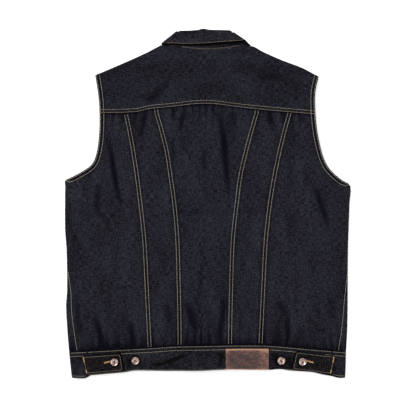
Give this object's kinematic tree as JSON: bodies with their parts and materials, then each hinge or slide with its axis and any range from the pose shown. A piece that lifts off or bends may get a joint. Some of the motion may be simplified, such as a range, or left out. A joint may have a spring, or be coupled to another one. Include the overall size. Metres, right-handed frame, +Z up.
{
  "type": "denim vest laid flat",
  "caption": "Sleeveless dark denim vest laid flat with its back up: yoke, curved back seams, folded collar, waistband with side tabs and a bare leather patch.",
  "frame": {"origin": "centre of the bounding box at the height of the surface that the vest lies on", "axes": "+Z up out of the back of the vest, +Y towards the neck, -X the wearer's left"},
  "size_m": [0.5424, 0.6623, 0.0119],
  "materials": {
    "denim": "raw indigo denim, matt, topstitched",
    "denim_band": "raw indigo denim, doubled, matt",
    "leather": "worn brown leather",
    "button_metal": "aged copper and silver"
  },
  "bodies": {
    "root": {"back_yoke": "denim", "back_centre_panel": "denim", "back_narrow_panel_left": "denim", "back_narrow_panel_right": "denim", "back_outer_panel_left": "denim", "back_outer_panel_right": "denim", "front_left": "denim", "front_right": "denim", "collar": "denim_band", "waistband_back": "denim_band", "waistband_front_left": "denim_band", "waistband_front_right": "denim_band", "tab_left": "denim_band", "tab_right": "denim_band", "label_patch": "leather", "tab_button_left": "button_metal", "tab_button_right": "button_metal", "band_button_left": "button_metal", "band_button_right": "button_metal", "front_button_1": "button_metal", "front_button_2": "button_metal", "front_button_3": "button_metal", "front_button_4": "button_metal", "front_button_5": "button_metal", "front_button_6": "button_metal"}
  },
  "joints": []
}
